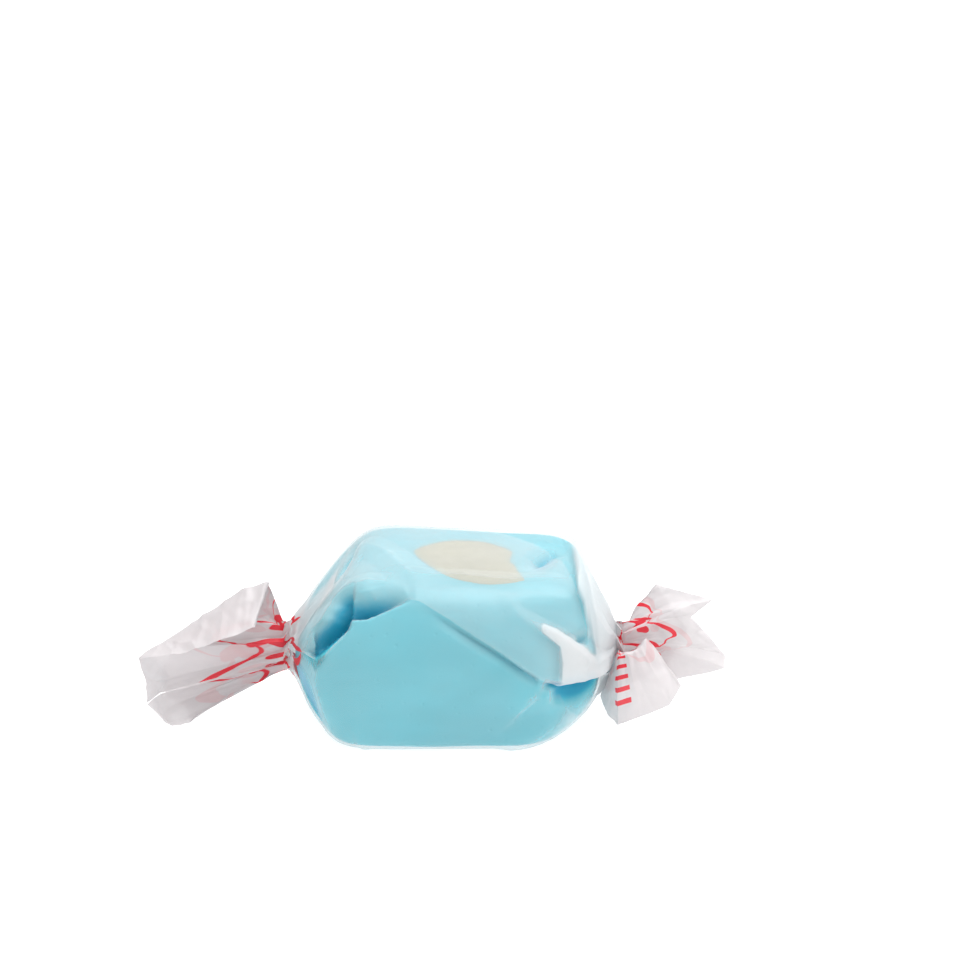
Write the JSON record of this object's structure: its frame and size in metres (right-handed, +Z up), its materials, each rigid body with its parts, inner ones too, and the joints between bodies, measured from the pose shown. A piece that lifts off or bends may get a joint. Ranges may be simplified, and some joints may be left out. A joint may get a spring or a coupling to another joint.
{
  "type": "wrapped taffy candy",
  "caption": "Pressed block of blue taffy with a cream centre, rolled in translucent waxed paper whose two ends are twisted shut and flare out.",
  "frame": {"origin": "the middle of the block's underside, on the surface that it rests on", "axes": "+X along the twist towards the shorter flared end, -Y towards the front with the free edge of the paper, +Z up"},
  "size_m": [0.0534, 0.0237, 0.0166],
  "materials": {
    "blue_taffy": "smooth soft taffy, turquoise blue",
    "cream_taffy": "smooth soft taffy, cream white",
    "waxed_paper": "thin translucent waxed paper, with a red pattern near its ends"
  },
  "bodies": {
    "root": {"taffy_block": "blue_taffy", "cream_centre": "cream_taffy", "wrapper": "waxed_paper"}
  },
  "joints": []
}
